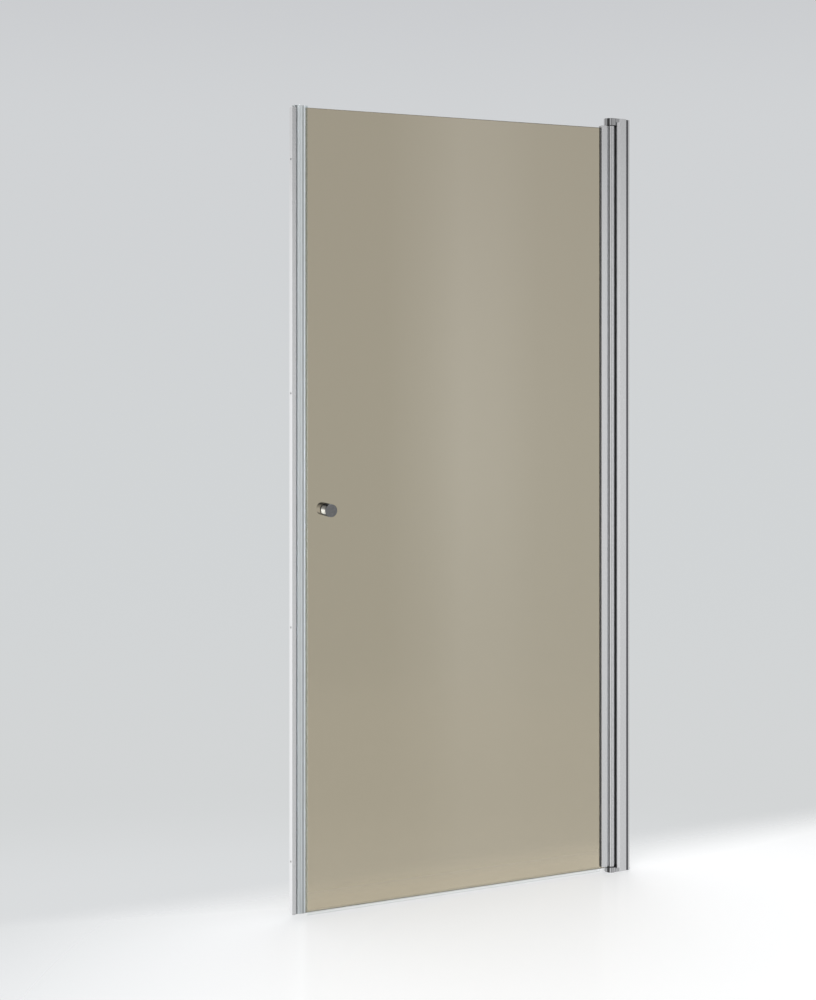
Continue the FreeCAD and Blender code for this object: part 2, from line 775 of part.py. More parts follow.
def glass_pane():
    """The tempered pane, with the hole for the knob and chamfered edges."""
    body = new_body("glass_pane")
    sketch = new_sketch(body, "XZ_Plane", -glass_side)
    outline = rectangle(glass_free_x, glass_hinge_x, S.glass_bottom, glass_top)
    draw_outline(sketch, outline)
    pad(body, sketch, S.glass_thickness)

    def on_a_face(point):
        return close_to(abs(point.y), glass_side)

    chamfer(body, edges_at(body, on_a_face), S.glass_edge)
    hole_along_y(body, knob_x, S.knob_height, S.glass_hole, glass_side, S.glass_thickness)
    return body


def glazing_gasket(label, side):
    """A strip between the pane and one leg; side is -1 on the room side, 1 on the shower side."""
    glass_face = (glass_side + S.fit_gap) * side
    leg_face = (slot_side - S.fit_gap) * side
    bead_x = channel_edge_x - S.glazing_gasket_bead
    outline = rectangle(bead_x, bead_x + S.glazing_gasket_depth, glass_face, leg_face)
    return extrusion(label, outline, S.door_bottom, glass_top - S.door_bottom)


def glass_setting_blocks():
    """The pads between the pane's edge and the floor of its slot."""
    body = new_body("glass_setting_blocks")
    sketch = new_sketch(body, "XY_Plane", S.glass_bottom + S.setting_block_inset)
    low = glass_hinge_x + S.fit_gap
    high = slot_floor_x - S.fit_gap
    draw_outline(sketch, rectangle(low, high, -glass_side, glass_side))
    block = pad(body, sketch, S.setting_block_length)
    span = glass_height - S.setting_block_inset * 2 - S.setting_block_length
    row_upwards(body, [block], span, SETTING_BLOCKS)
    return body


def channel_end_plug():
    """The plug that closes the channel above the pane."""
    side = slot_side - S.slide_gap
    outline = rectangle(channel_edge_x + S.slide_gap, slot_floor_x - S.slide_gap, -side, side)
    low = glass_top + S.slide_gap
    return extrusion("channel_end_plug", outline, low, door_top - S.slide_gap - low)


def bottom_drip_seal():
    """The clear strip pushed on to the pane's lower edge, with a fin that wipes the floor."""
    inside = glass_side + S.seal_leg_gap
    outside = inside + S.drip_leg
    floor = S.glass_bottom - S.seal_leg_gap
    base = floor - S.drip_base
    leg_top = S.glass_bottom + S.drip_leg_height
    tip = base - S.drip_fin_height
    root_side = S.drip_fin_root / 2
    tip_side = S.drip_fin_tip / 2
    half = [
        (-inside, floor),
        (-inside, leg_top),
        (-outside, leg_top),
        (-outside, base),
        (-root_side, base),
        (-tip_side, tip),
    ]
    outline = half + [(-y, z) for y, z in reversed(half)]
    start_x = glass_free_x + S.seal_leg_reach + S.slide_gap
    end_x = channel_edge_x - S.glazing_gasket_bead - S.slide_gap
    body = new_body("bottom_drip_seal")
    sketch = new_sketch(body, "YZ_Plane", start_x)
    draw_outline(sketch, outline)
    pad(body, sketch, end_x - start_x)
    return body


# ---- Strike side ----


def strike_wall_profile():
    """The lipped channel on the strike wall that holds the fixed magnet seal."""
    side = S.strike_thickness / 2
    inside = side - S.strike_wall
    mouth = S.strike_mouth / 2
    base_x = strike_wall + S.strike_wall
    face_x = strike_wall + S.strike_depth
    lip_x = face_x - S.strike_wall
    outline = mirrored(
        [
            (base_x, -inside),
            (lip_x, -inside),
            (lip_x, -mouth),
            (face_x, -mouth),
            (face_x, -side),
            (strike_wall, -side),
        ]
    )
    body = extrusion("strike_wall_profile", outline, S.strike_bottom, strike_height)
    corners = [(face_x, -side), (face_x, side)]
    fillet(body, upright_edges(body, corners), S.channel_lip)
    fixing_holes(
        body, strike_wall, S.strike_wall, S.strike_bottom, strike_height, S.strike_fixing_inset
    )
    return body


def magnet_slot(face_x, inwards):
    """The outline of a magnet's slot and of the magnet, behind a seal's face at face_x."""
    near = face_x + S.seal_wall * inwards
    far = near + (S.magnet_depth + S.fit_gap * 2) * inwards
    side = S.magnet_width / 2 + S.fit_gap
    slot = rectangle(near, far, -side, side)
    magnet_near = near + S.fit_gap * inwards
    magnet_far = far - S.fit_gap * inwards
    magnet_side = S.magnet_width / 2
    return slot, rectangle(magnet_near, magnet_far, -magnet_side, magnet_side)


def strike_magnet_seal():
    """The fixed seal: a root behind the profile's lips, a neck and a hollow head."""
    side = S.seal_thickness / 2
    neck = S.seal_neck / 2
    root = S.seal_root_width / 2
    lip_x = strike_wall + S.strike_depth - S.strike_wall - S.fit_gap
    root_x = lip_x - S.seal_root_depth
    face_x = seam_x - S.running_gap / 2
    head_x = seam_x - S.seal_head
    notch_x = seam_x - S.seal_notch_from_seam
    outline = mirrored(
        [
            (root_x, -root),
            (lip_x, -root),
            (lip_x, -neck),
            (head_x, -neck),
            (head_x, -side),
            (notch_x - S.seal_notch, -side),
            (notch_x, S.seal_notch - side),
            (notch_x + S.seal_notch, -side),
            (face_x, -side),
        ]
    )
    slot, _ = magnet_slot(face_x, -1)
    hollow_side = side - S.seal_wall - S.seal_notch
    slot_back_x = slot[1][0]
    hollow = rectangle(
        head_x + S.seal_wall, slot_back_x - S.seal_wall, -hollow_side, hollow_side
    )
    return extrusion(
        "strike_magnet_seal", outline, S.seal_bottom, seal_height, [slot, hollow]
    )


def door_magnet_seal():
    """The door's seal: a hollow head with its magnet, and two legs over the pane."""
    side = S.seal_thickness / 2
    inside = glass_side + S.seal_leg_gap
    outside = inside + S.seal_leg
    face_x = seam_x + S.running_gap / 2
    edge_x = glass_free_x - S.seal_leg_gap
    leg_x = glass_free_x + S.seal_leg_reach
    outline = mirrored(
        [
            (face_x, -side),
            (edge_x, -side),
            (glass_free_x + S.seal_shoulder, -outside),
            (leg_x, -outside),
            (leg_x, -inside),
            (edge_x, -inside),
        ]
    )
    slot, _ = magnet_slot(face_x, 1)
    return extrusion("door_magnet_seal", outline, S.seal_bottom, seal_height, [slot])


def magnet_strip(label, face_x, inwards):
    _, magnet = magnet_slot(face_x, inwards)
    return extrusion(label, magnet, S.seal_bottom, seal_height)


# ---- Knob ----


def knob(label, side):
    """One knob; side is -1 for the room side and 1 for the shower side."""
    foot = knob_foot_y
    face = foot + S.knob_length
    bore_floor = foot + S.knob_bore_depth
    half_section = [
        (foot, stud_bore),
        (foot, S.knob_radius),
        (face - S.knob_chamfer, S.knob_radius),
        (face, S.knob_radius - S.knob_chamfer),
        (face, ZERO),
        (bore_floor, ZERO),
        (bore_floor, stud_bore),
    ]
    body = turned_about_y(label, knob_x, S.knob_height, [(y * side, r) for y, r in half_section])
    fillet(body, ring_edges(body, foot * side, S.knob_radius), S.knob_round)
    return body


def knob_inner():
    """The shower side knob, with the tapped hole for its grub screw."""
    body = knob("knob_inner", 1)
    sketch = new_sketch(body, "XY_Plane", -S.knob_radius)
    draw_circle(sketch, ZERO, grub_screw_y, tapped_radius)
    pocket(body, sketch, S.knob_radius, forwards=True)
    return body


def knob_grub_screw():
    """The headless screw that locks the inner knob on the stud, from below."""
    low = -(S.knob_radius - S.grub_screw_drop)
    high = -stud_bore
    body = new_body("knob_grub_screw", knob_x, S.knob_height)
    sketch = new_sketch(body, "XY_Plane", low)
    draw_circle(sketch, ZERO, grub_screw_y, S.screw_radius)
    pad(body, sketch, high - low)
    socket = new_sketch(body, "XY_Plane", low)
    draw_outline(socket, hexagon(grub_screw_y))
    pocket(body, socket, S.drive_depth, forwards=True)
    return body


def knob_stud():
    """The stud that joins the two knobs through the pane."""
    reach = knob_foot_y + S.knob_bore_depth - S.stud_end_gap
    section = rectangle(-reach, reach, ZERO, S.stud_radius)
    return turned_about_y("knob_stud", knob_x, S.knob_height, section)


def knob_washer(label, side):
    """A washer between a knob's foot and the glass."""
    section = rectangle(
        glass_side * side, knob_foot_y * side, stud_bore, S.knob_washer_radius
    )
    return turned_about_y(label, knob_x, S.knob_height, section)


def knob_glass_sleeve():
    """The sleeve that keeps the stud off the glass."""
    half = glass_side - S.fit_gap
    section = rectangle(-half, half, stud_bore, S.glass_hole - S.fit_gap)
    return turned_about_y("knob_glass_sleeve", knob_x, S.knob_height, section)


sub_parts = [
    hinge_wall_profile(),
    hinge_post_profile(),
    hinge_post_gasket(),
    wall_channel_plug("hinge_wall_plug_bottom", ZERO),
    wall_channel_plug("hinge_wall_plug_top", wall_channel_height - S.wall_plug_height),
    headed_screws(
        "locking_screws", lock_screw_x, S.lock_screw_inset, S.screw_length, LOCKING_SCREWS
    ),
    locking_screw_caps(),
    pivot_block("top_pivot_block", True, top_collar),
    pivot_block("bottom_pivot_block", False, bottom_collar),
    headed_screws(
        "block_screws", tenon_middle_x, S.block_screw_inset, S.block_screw_length, len(BLOCK_ENDS)
    ),
    pin_lock_screws(),
    pivot_pin(
        "top_pivot_pin",
        door_top - S.pin_engagement,
        S.overall_height - S.pin_end_wall - S.fit_gap,
    ),
    pivot_pin(
        "bottom_pivot_pin", S.pin_end_wall + S.fit_gap, S.door_bottom + S.pin_engagement
    ),
    thrust_washer(),
    strike_wall_profile(),
    strike_magnet_seal(),
    magnet_strip("strike_magnet_strip", seam_x - S.running_gap / 2, -1),
    door_hinge_profile(),
    pivot_bush("top_pivot_bush", door_top, 1),
    pivot_bush("bottom_pivot_bush", S.door_bottom, -1),
    glass_pane(),
    glazing_gasket("glazing_gasket_outer", -1),
    glazing_gasket("glazing_gasket_inner", 1),
    glass_setting_blocks(),
    channel_end_plug(),
    door_magnet_seal(),
    magnet_strip("door_magnet_strip", seam_x + S.running_gap / 2, 1),
    bottom_drip_seal(),
    knob("knob_outer", -1),
    knob_inner(),
    knob_stud(),
    knob_washer("knob_washer_outer", -1),
    knob_washer("knob_washer_inner", 1),
    knob_glass_sleeve(),
    knob_grub_screw(),
]

document.recompute()
for item in document.Objects:
    if "Invalid" in item.State or "Error" in item.State:
        raise RuntimeError(f"{item.Label} is {item.State}")
for sub_part in sub_parts:
    if sub_part.Shape.isNull() or not sub_part.Shape.isValid():
        raise RuntimeError(f"{sub_part.Label} has no valid shape")

os.makedirs("parts", exist_ok=True)
for sub_part in sub_parts:
    sub_part.Shape.exportStep(f"parts/{sub_part.Label}.step")
    print(sub_part.Label, len(sub_part.Shape.Solids), round(sub_part.Shape.Volume, 1))
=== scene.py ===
import json
import math

import bpy
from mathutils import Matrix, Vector


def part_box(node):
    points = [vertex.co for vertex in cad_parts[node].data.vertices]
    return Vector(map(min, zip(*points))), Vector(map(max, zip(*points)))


# A pivot shower door with a bronze tinted pane, on a pale studio floor.
# Metres. X runs from the strike side to the hinge side, -Y is the room side, Z is up.

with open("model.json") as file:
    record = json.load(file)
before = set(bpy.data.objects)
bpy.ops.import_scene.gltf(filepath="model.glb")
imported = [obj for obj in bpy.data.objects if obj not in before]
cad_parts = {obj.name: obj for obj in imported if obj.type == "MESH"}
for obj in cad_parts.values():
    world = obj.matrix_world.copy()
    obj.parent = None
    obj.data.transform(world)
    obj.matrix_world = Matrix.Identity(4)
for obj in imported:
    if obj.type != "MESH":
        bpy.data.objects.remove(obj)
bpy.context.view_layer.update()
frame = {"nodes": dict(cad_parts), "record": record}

IMAGE_WIDTH = 816
IMAGE_HEIGHT = 1000
SENSOR = 36.0  # the camera's sensor along the image's long side, in millimetres

# The photograph's view: a level camera, its horizon above the middle of the frame
CAMERA_PLACE = Vector((-1.615, -3.389, 1.292))
CAMERA_HEADING = math.radians(-23.3)
FOCAL_PIXELS = 1547.0
HORIZON_ROW = 359.5

FLOOR_RADIUS = 6.0
FLOOR_MIDDLE = (0.35, -0.9, 0.0)  # the floor fades into the backdrop round this place ...
FLOOR_SOLID_RADIUS = 0.75  # ... from here ...
FLOOR_FADED_RADIUS = 2.1  # ... to here
FLOOR_BACK_FADE = (-0.05, 0.28)  # and behind the door between these places along Y
FLOOR_COLOUR = (0.88, 0.885, 0.89)
FLOOR_GLOW_COLOUR = (0.98, 0.99, 1.0)
FLOOR_GLOW = 0.31  # what the floor shows beside the light that falls on it
FLOOR_DROP = 0.0005  # how far it lies under the object's lowest face


# ---- Node trees ----

# A mix node has sockets for each type of data, and these are the ones for colours
MIX_FIRST_COLOUR = 6
MIX_SECOND_COLOUR = 7
MIX_COLOUR = 2
BAND_SOFTNESS = 0.25  # how far a band's edge fades either way, as a share of its half width


class Tree:
    """Short calls for building one node tree."""

    def __init__(self, owner):
        owner.use_nodes = True
        self.tree = owner.node_tree
        self.tree.nodes.clear()

    def node(self, kind, **settings):
        made = self.tree.nodes.new(kind)
        for name, value in settings.items():
            setattr(made, name, value)
        return made

    def plug(self, socket, value):
        """Links an output to the socket, or sets the socket to a plain value."""
        if isinstance(value, bpy.types.NodeSocket):
            self.tree.links.new(value, socket)
        else:
            socket.default_value = value

    def math(self, operation, *values, clamp=False):
        made = self.node("ShaderNodeMath", operation=operation, use_clamp=clamp)
        for socket, value in zip(made.inputs, values):
            self.plug(socket, value)
        return made.outputs[0]

    def vector_math(self, operation, *values):
        made = self.node("ShaderNodeVectorMath", operation=operation)
        for socket, value in zip(made.inputs, values):
            self.plug(socket, value)
        return made.outputs["Vector"]

    def coordinates(self, name):
        return self.node("ShaderNodeTexCoord").outputs[name]

    def split(self, vector):
        made = self.node("ShaderNodeSeparateXYZ")
        self.plug(made.inputs[0], vector)
        return made.outputs

    def noise(self, stretch, scale, detail=2.0, roughness=0.5):
        """Noise from 0 to 1 over the object, stretched along its axes."""
        placed = self.vector_math("MULTIPLY", self.coordinates("Object"), stretch)
        made = self.node("ShaderNodeTexNoise")
        self.plug(made.inputs["Vector"], placed)
        self.plug(made.inputs["Scale"], scale)
        self.plug(made.inputs["Detail"], detail)
        self.plug(made.inputs["Roughness"], roughness)
        return made.outputs[0]

    def spread(self, value, low, high, start=0.0, end=1.0):
        """Carries a value from the range start..end to the range low..high."""
        made = self.node("ShaderNodeMapRange", clamp=True)
        for name, number in (
            ("Value", value),
            ("From Min", start),
            ("From Max", end),
            ("To Min", low),
            ("To Max", high),
        ):
            self.plug(made.inputs[name], number)
        return made.outputs[0]

    def band(self, middle, half_width):
        """1 in a band of places along X, and 0 outside it, with soft edges."""
        x = self.split(self.coordinates("Object"))[0]
        away = self.math("ABSOLUTE", self.math("SUBTRACT", x, middle))
        fade_start = (1 - BAND_SOFTNESS) * half_width
        fade_end = (1 + BAND_SOFTNESS) * half_width
        return self.spread(away, 1.0, 0.0, fade_start, fade_end)

    def mix_colour(self, share, first, second):
        """From the first colour to the second as the share goes from 0 to 1."""
        made = self.node("ShaderNodeMix", data_type="RGBA")
        self.plug(made.inputs[0], share)
        self.plug(made.inputs[MIX_FIRST_COLOUR], first)
        self.plug(made.inputs[MIX_SECOND_COLOUR], second)
        return made.outputs[MIX_COLOUR]

    def bump(self, height, distance):
        """The normal of a surface that is raised by height times distance, in metres."""
        made = self.node("ShaderNodeBump")
        self.plug(made.inputs["Height"], height)
        self.plug(made.inputs["Distance"], distance)
        return made.outputs[0]

    def ramp(self, value, start, end, stops):
        """Colours along a range: stops are (place, colour) pairs."""
        made = self.node("ShaderNodeValToRGB")
        self.plug(made.inputs[0], self.spread(value, 0.0, 1.0, start, end))
        made.color_ramp.interpolation = "EASE"
        elements = made.color_ramp.elements
        while len(elements) < len(stops):
            elements.new(1.0)
        for element, (place, colour) in zip(elements, stops):
            element.position = (place - start) / (end - start)
            element.color = (*colour, 1.0)
        return made.outputs[0]

    def mix_shader(self, share, first, second):
        made = self.node("ShaderNodeMixShader")
        self.plug(made.inputs[0], share)
        self.plug(made.inputs[1], first)
        self.plug(made.inputs[2], second)
        return made.outputs[0]

    def principled(self, **sockets):
        """A Principled shader; the names have _ for a space."""
        made = self.node("ShaderNodeBsdfPrincipled")
        for name, value in sockets.items():
            self.plug(made.inputs[name.replace("_", " ")], value)
        return made.outputs[0]


def grey(level):
    return (level, level, level)


def rgba(colour):
    return (*colour, 1.0)


def new_material(name):
    """The node tree of a new material, and a call that gives it its surface and returns it."""
    material = bpy.data.materials.new(name)
    tree = Tree(material)
    output = tree.node("ShaderNodeOutputMaterial")

    def finish(surface):
        tree.plug(output.inputs["Surface"], surface)
        return material

    return tree, finish


# ---- Materials ----

# Places along X that the frame gives
POST_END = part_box("hinge_post_profile")[1][0]
STRIKE_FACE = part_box("strike_wall_profile")[1][0]
PANE_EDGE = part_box("glass_pane")[0][0]
SEAM = (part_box("strike_magnet_seal")[1][0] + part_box("door_magnet_seal")[0][0]) / 2

# Bands of colour: each has its middle along X, and its half width
# painted shade in the gap where the hinge post ends over the wall channel
CREVICE_SHADE_BAND = (POST_END + 0.0035, 0.0031)
SEAM_BAND = (SEAM + 0.0010, 0.0012)
# painted shade in the gap between the strike profile and its seal
GAP_SHADE_BAND = (STRIKE_FACE + 0.0010, 0.0026)

# How noise is stretched: along the lines that a die leaves, or not at all
ALONG_Z = (1.0, 1.0, 0.004)
ALONG_X = (0.004, 1.0, 1.0)
EVEN = (1.0, 1.0, 1.0)
NOISE_RANGE = (0.3, 0.7)  # the values that most of a noise lies between

METAL_COLOURS = ((0.80, 0.806, 0.82), (0.812, 0.818, 0.832))
# the colour of the painted shade in the crevice band
CREVICE_SHADE_COLOUR = (0.12, 0.12, 0.13)
CHROME_COLOUR = (0.56, 0.565, 0.575)
STEEL_COLOURS = ((0.56, 0.57, 0.58), (0.68, 0.69, 0.70))
GLASS_TINT = (0.575, 0.51, 0.385)
GLASS_EDGE_TINT = (0.20, 0.16, 0.11)
GLASS_FACE_TURN = 0.9  # how squarely a normal points along Y on a face of the pane
SEAL_COLOURS = ((0.92, 0.975, 0.985), (0.95, 0.99, 1.0))
SEAM_COLOUR = (0.41, 0.44, 0.45)
SEAL_LEG_COLOUR = (0.79, 0.83, 0.83)
# the colour of the painted shade in the gap beside the strike profile
GAP_SHADE_COLOUR = (0.05, 0.052, 0.056)
SEAL_CLARITY = 0.45  # how much of the milky plastic is clear
DRIP_SEAL_COLOURS = ((0.95, 0.97, 0.97), (0.98, 0.99, 0.99))
CLEAR_PLASTIC_COLOUR = (0.90, 0.92, 0.92)


def profile_metal(name="profile_metal", crevice=None):
    """Bright anodised aluminium, with the fine upright lines that an extrusion die leaves.

    A crevice is a place along X and a half width, where the metal beside the piece that slides
    over it is painted darker: painted shade of the gap between them.
    """
    tree, finish = new_material(name)
    lines = tree.noise(ALONG_Z, 900.0, detail=3.0)
    clouds = tree.noise(EVEN, 9.0, detail=3.0)
    dark, light = METAL_COLOURS
    share = tree.spread(lines, 0.0, 1.0, *NOISE_RANGE)
    colour = tree.mix_colour(share, rgba(dark), rgba(light))
    if crevice:
        # painted shade: the crevice band is darkened where the gap beside the post lies in shadow
        colour = tree.mix_colour(tree.band(*crevice), colour, rgba(CREVICE_SHADE_COLOUR))
    streaks = tree.spread(lines, 0.15, 0.175, *NOISE_RANGE)
    roughness = tree.math("ADD", streaks, tree.spread(clouds, -0.02, 0.02, *NOISE_RANGE))
    return finish(
        tree.principled(
            Base_Color=colour,
            Metallic=1.0,
            Roughness=roughness,
            Normal=tree.bump(lines, 0.0000015),
        )
    )


def chrome():
    """Polished chrome plate, with faint wipe marks."""
    tree, finish = new_material("chrome")
    smudges = tree.noise(EVEN, 160.0, detail=4.0, roughness=0.6)
    return finish(
        tree.principled(
            Base_Color=rgba(CHROME_COLOUR),
            Metallic=1.0,
            Roughness=tree.spread(smudges, 0.03, 0.09, 0.35, 0.7),
            Normal=tree.bump(smudges, 0.000004),
        )
    )


def tinted_glass():
    """Bronze tinted tempered glass, nearly flat, with darker cut edges.

    Lamps shine through it as through a tinted sheet, so that its shadow on the floor is clear.
    Their light crosses two faces, so each of them takes the square root of the tint.
    """
    tree, finish = new_material("tinted_glass")
    across = tree.split(tree.coordinates("Normal"))[1]
    on_a_face = tree.math("GREATER_THAN", tree.math("ABSOLUTE", across), GLASS_FACE_TURN)
    streaks = tree.noise((1.0, 1.0, 0.25), 14.0, detail=2.0)
    waves = tree.noise((0.4, 1.0, 1.0), 3.0, detail=1.0)
    tint = tree.mix_colour(on_a_face, rgba(GLASS_EDGE_TINT), rgba(GLASS_TINT))
    glass = tree.principled(
        Base_Color=tint,
        Roughness=tree.spread(streaks, 0.0, 0.025, 0.45, 0.75),
        IOR=1.5,
        Transmission_Weight=1.0,
        Normal=tree.bump(waves, 0.0002),
    )
    lamp_side = tree.node("ShaderNodeBsdfTransparent")
    tree.plug(lamp_side.inputs["Color"], rgba(tuple(level**0.5 for level in GLASS_TINT)))
    is_shadow = tree.node("ShaderNodeLightPath").outputs["Is Shadow Ray"]
    return finish(tree.mix_shader(is_shadow, glass, lamp_side.outputs[0]))


def clear_seal(name, gap_shade_band=None):
    """Soft clear plastic: milky where it is thick, and clear in the thin legs on the pane.

    It greys at the seam, where the magnets lie behind it. In the gap shade band, a place along X
    and a half width, the seal is painted nearly black and opaque: painted shade of the gap beside
    the strike profile.
    """
    tree, finish = new_material(name)
    lines = tree.noise(ALONG_Z, 700.0, detail=2.0)
    haze = tree.noise(EVEN, 30.0, detail=3.0)
    dark, light = SEAL_COLOURS
    colour = tree.mix_colour(haze, rgba(dark), rgba(light))
    colour = tree.mix_colour(tree.band(*SEAM_BAND), colour, rgba(SEAM_COLOUR))
    in_legs = tree.math("GREATER_THAN", tree.split(tree.coordinates("Object"))[0], PANE_EDGE)
    colour = tree.mix_colour(in_legs, colour, rgba(SEAL_LEG_COLOUR))
    clear = tree.spread(in_legs, SEAL_CLARITY, 1.0)
    if gap_shade_band:
        # painted shade: a dark, opaque band where the gap beside the strike profile lies in shadow
        gap_shade = tree.band(*gap_shade_band)
        colour = tree.mix_colour(gap_shade, colour, rgba(GAP_SHADE_COLOUR))
        clear = tree.math("MULTIPLY", clear, tree.math("SUBTRACT", 1.0, gap_shade))
    return finish(
        tree.principled(
            Base_Color=colour,
            Roughness=tree.spread(lines, 0.12, 0.22, *NOISE_RANGE),
            IOR=1.4,
            Transmission_Weight=clear,
            Normal=tree.bump(lines, 0.000004),
        )
    )


def drip_seal():
    """Thin water-clear plastic, which hardly shows in front of the floor."""
    tree, finish = new_material("drip_seal")
    lines = tree.noise(ALONG_X, 900.0, detail=2.0)
    haze = tree.noise(EVEN, 30.0, detail=3.0)
    dark, light = DRIP_SEAL_COLOURS
    return finish(
        tree.principled(
            Base_Color=tree.mix_colour(haze, rgba(dark), rgba(light)),
            Roughness=tree.spread(lines, 0.02, 0.08, *NOISE_RANGE),
            IOR=1.2,
            Transmission_Weight=1.0,
            Normal=tree.bump(lines, 0.000004),
        )
    )


def clear_plastic():
    """Clear hard plastic of the setting blocks and of the sleeve at the knob."""
    tree, finish = new_material("clear_plastic")
    haze = tree.noise(EVEN, 400.0, detail=2.0)
    return finish(
        tree.principled(
            Base_Color=rgba(CLEAR_PLASTIC_COLOUR),
            Roughness=tree.spread(haze, 0.08, 0.2, *NOISE_RANGE),
            IOR=1.46,
            Transmission_Weight=0.8,
        )
    )


def moulded(name, dark, light, roughness, grain, grain_height):
    """A plain moulded or extruded plastic or rubber, with a fine grain of a scale and height."""
    tree, finish = new_material(name)
    fine = tree.noise(EVEN, grain, detail=4.0, roughness=0.6)
    broad = tree.noise(EVEN, 25.0, detail=2.0)
    return finish(
        tree.principled(
            Base_Color=tree.mix_colour(broad, rgba(dark), rgba(light)),
            Roughness=tree.spread(fine, roughness - 0.07, roughness + 0.07, *NOISE_RANGE),
            Normal=tree.bump(fine, grain_height),
        )
    )


def brushed_steel():
    """Stainless steel of the screws, pins and stud, with turning marks."""
    tree, finish = new_material("brushed_steel")
    marks = tree.noise((1.0, 8.0, 1.0), 900.0, detail=3.0)
    dark, light = STEEL_COLOURS
    return finish(
        tree.principled(
            Base_Color=tree.mix_colour(marks, rgba(dark), rgba(light)),
            Metallic=1.0,
            Roughness=tree.spread(marks, 0.22, 0.36, *NOISE_RANGE),
            Normal=tree.bump(marks, 0.00001),
        )
    )


# The nodes whose finish isn't just their slot's
own_materials = {
    # the wall channel carries painted shade in its crevice band
    "hinge_wall_profile": profile_metal("wall_channel_metal", CREVICE_SHADE_BAND),
    # the strike seal carries painted shade in its band beside the strike profile
    "strike_magnet_seal": clear_seal("strike_seal", GAP_SHADE_BAND),
    "bottom_drip_seal": drip_seal(),
    "glazing_gasket_outer": moulded("gasket_rubber", grey(0.15), grey(0.18), 0.5, 900.0, 0.00003),
}
materials = {
    "profile_metal": profile_metal(),
    "chrome": chrome(),
    "tinted_glass": tinted_glass(),
    "clear_seal": clear_seal("clear_seal"),
    "clear_plastic": clear_plastic(),
    "magnet": moulded("magnet", grey(0.60), grey(0.68), 0.5, 500.0, 0.00002),
    "black_rubber": moulded("black_rubber", grey(0.018), grey(0.03), 0.55, 900.0, 0.00003),
    "grey_plastic": moulded("grey_plastic", grey(0.40), grey(0.46), 0.45, 700.0, 0.00002),
    "black_plastic": moulded("black_plastic", grey(0.025), grey(0.04), 0.4, 700.0, 0.00002),
    "steel": brushed_steel(),
}


def finish_nodes():
    """Gives every carried-over node its own material, or that of its slot in the record."""
    slots = {entry["slot"] for entry in frame["record"]["materials"]}
    for name, piece in frame["nodes"].items():
        for index, slot in enumerate(piece.material_slots):
            wanted = slot.material.name.split(".")[0]
            if wanted not in slots:
                raise RuntimeError(f"{name} has a material {wanted} that the record doesn't name")
            piece.material_slots[index].material = own_materials.get(name, materials[wanted])


finish_nodes()


# ---- Floor, backdrop and light ----


def floor_material():
    """Pale satin floor, which fades out round the object so that the backdrop takes over."""
    tree, finish = new_material("studio_floor")
    place = tree.vector_math("SUBTRACT", tree.coordinates("Object"), FLOOR_MIDDLE)
    distance = tree.node("ShaderNodeVectorMath", operation="LENGTH")
    tree.plug(distance.inputs[0], place)
    faded_round = tree.spread(
        distance.outputs["Value"], 0.0, 1.0, FLOOR_SOLID_RADIUS, FLOOR_FADED_RADIUS
    )
    behind = tree.spread(tree.split(tree.coordinates("Object"))[1], 0.0, 1.0, *FLOOR_BACK_FADE)
    faded = tree.math("MAXIMUM", faded_round, behind)
    path = tree.node("ShaderNodeLightPath").outputs
    seen = tree.math("ADD", path["Is Camera Ray"], path["Is Glossy Ray"])
    seen = tree.math("ADD", seen, path["Is Transmission Ray"], clamp=True)
    floor = tree.principled(
        Base_Color=rgba(FLOOR_COLOUR),
        Roughness=0.16,
        Specular_IOR_Level=0.25,
        Emission_Color=rgba(FLOOR_GLOW_COLOUR),
        Emission_Strength=tree.math("MULTIPLY", seen, FLOOR_GLOW),
    )
    clear = tree.node("ShaderNodeBsdfTransparent").outputs[0]
    smooth = tree.node("ShaderNodeMapRange", interpolation_type="SMOOTHSTEP")
    tree.plug(smooth.inputs["Value"], faded)
    return finish(tree.mix_shader(smooth.outputs[0], floor, clear))


def add_floor():
    """A flat disc just under the object, which polished surfaces don't mirror."""
    sides = 96
    rim = [
        (FLOOR_RADIUS * math.cos(turn), FLOOR_RADIUS * math.sin(turn), 0.0)
        for turn in (2 * math.pi * step / sides for step in range(sides))
    ]
    mesh = bpy.data.meshes.new("studio_floor")
    mesh.from_pydata(rim, [], [list(range(sides))])
    floor = bpy.data.objects.new("studio_floor", mesh)
    floor.location.z = -FLOOR_DROP
    bpy.context.scene.collection.objects.link(floor)
    mesh.materials.append(floor_material())
    floor.visible_glossy = False


# Degrees above the horizon, and the backdrop's colour there
BACKDROP = (
    (-90.0, (0.82, 0.835, 0.85)),
    (-24.0, (0.80, 0.815, 0.83)),
    (-18.5, (0.70, 0.715, 0.725)),
    (-15.5, (0.65, 0.665, 0.67)),
    (-6.0, (0.64, 0.66, 0.67)),
    (8.0, (0.635, 0.65, 0.665)),
    (16.0, (0.58, 0.59, 0.61)),
    (90.0, (0.58, 0.59, 0.61)),
)
